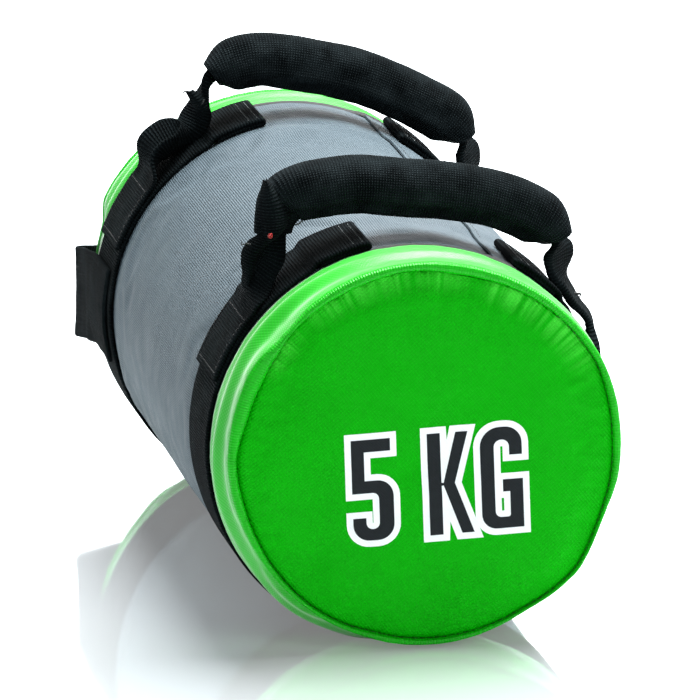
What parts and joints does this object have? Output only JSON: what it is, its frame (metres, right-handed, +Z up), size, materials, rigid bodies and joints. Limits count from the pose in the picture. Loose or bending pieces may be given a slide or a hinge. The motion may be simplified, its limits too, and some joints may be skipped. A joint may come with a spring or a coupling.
{
  "type": "sandbag trainer",
  "caption": "Stuffed cylindrical training sandbag in grey and green tarpaulin with webbing hoops, two padded grab handles and a webbing end handle.",
  "frame": {"origin": "on the floor under the middle of the bag", "axes": "+Y along the bag from its marked end to its plain end, +Z up, +X to the right as the marked end is seen"},
  "size_m": [0.2208, 0.4565, 0.2391],
  "materials": {
    "grey_tarpaulin": "satin coated cloth with a fine woven rib",
    "green_tarpaulin": "glossy coated cloth with a fine woven rib",
    "webbing": "black ribbed polyester webbing",
    "handle_sleeve": "black woven nylon",
    "foam": "closed-cell foam",
    "liner": "plain woven lining",
    "wadding": "loose fibre wadding",
    "sand_pouch": "sewn pouch filled with sand",
    "print_black": "screen print",
    "print_white": "screen print",
    "thread": "sewing thread"
  },
  "bodies": {
    "bag": {"body_panel": "grey_tarpaulin", "body_lap_strip": "grey_tarpaulin", "front_side_band": "green_tarpaulin", "rear_side_band": "green_tarpaulin", "front_end_disc": "green_tarpaulin", "rear_end_disc": "green_tarpaulin", "front_rim_seam": "green_tarpaulin", "rear_rim_seam": "green_tarpaulin", "front_hoop": "webbing", "rear_hoop": "webbing", "front_left_anchor": "webbing", "front_right_anchor": "webbing", "rear_left_anchor": "webbing", "rear_right_anchor": "webbing", "end_handle_left_anchor": "webbing", "end_handle_right_anchor": "webbing", "inner_liner": "liner", "liner_cap": "liner", "wadding_sleeve": "wadding", "front_wadding_pad": "wadding", "rear_wadding_pad": "wadding", "front_sand_pouch": "sand_pouch", "rear_sand_pouch": "sand_pouch"},
    "front_handle": {"front_grip_sleeve": "handle_sleeve", "front_grip_foam": "foam", "front_grip_webbing": "webbing", "front_left_riser": "webbing", "front_right_riser": "webbing"},
    "rear_handle": {"rear_grip_sleeve": "handle_sleeve", "rear_grip_foam": "foam", "rear_grip_webbing": "webbing", "rear_left_riser": "webbing", "rear_right_riser": "webbing"},
    "end_handle": {"end_handle_strap": "webbing", "end_handle_left_root": "webbing", "end_handle_right_root": "webbing"}
  },
  "joints": [
    {"name": "front_handle_swing", "type": "hinge", "parent": "bag", "child": "front_handle", "pos_m": [0.00916, -0.1485, 0.14793], "axis": [0.9848, 0, -0.1736], "range_deg": [-25, 25], "deforming": ["front_left_riser", "front_right_riser"]},
    {"name": "rear_handle_swing", "type": "hinge", "parent": "bag", "child": "rear_handle", "pos_m": [0.00916, 0.1485, 0.14793], "axis": [0.9848, 0, -0.1736], "range_deg": [-13, 13], "deforming": ["rear_left_riser", "rear_right_riser"]},
    {"name": "end_handle_swing", "type": "hinge", "parent": "bag", "child": "end_handle", "pos_m": [-0.00344, 0.1735, 0.07648], "axis": [0.9848, 0, -0.1736], "range_deg": [-25, 35], "deforming": ["end_handle_left_root", "end_handle_right_root"]}
  ]
}
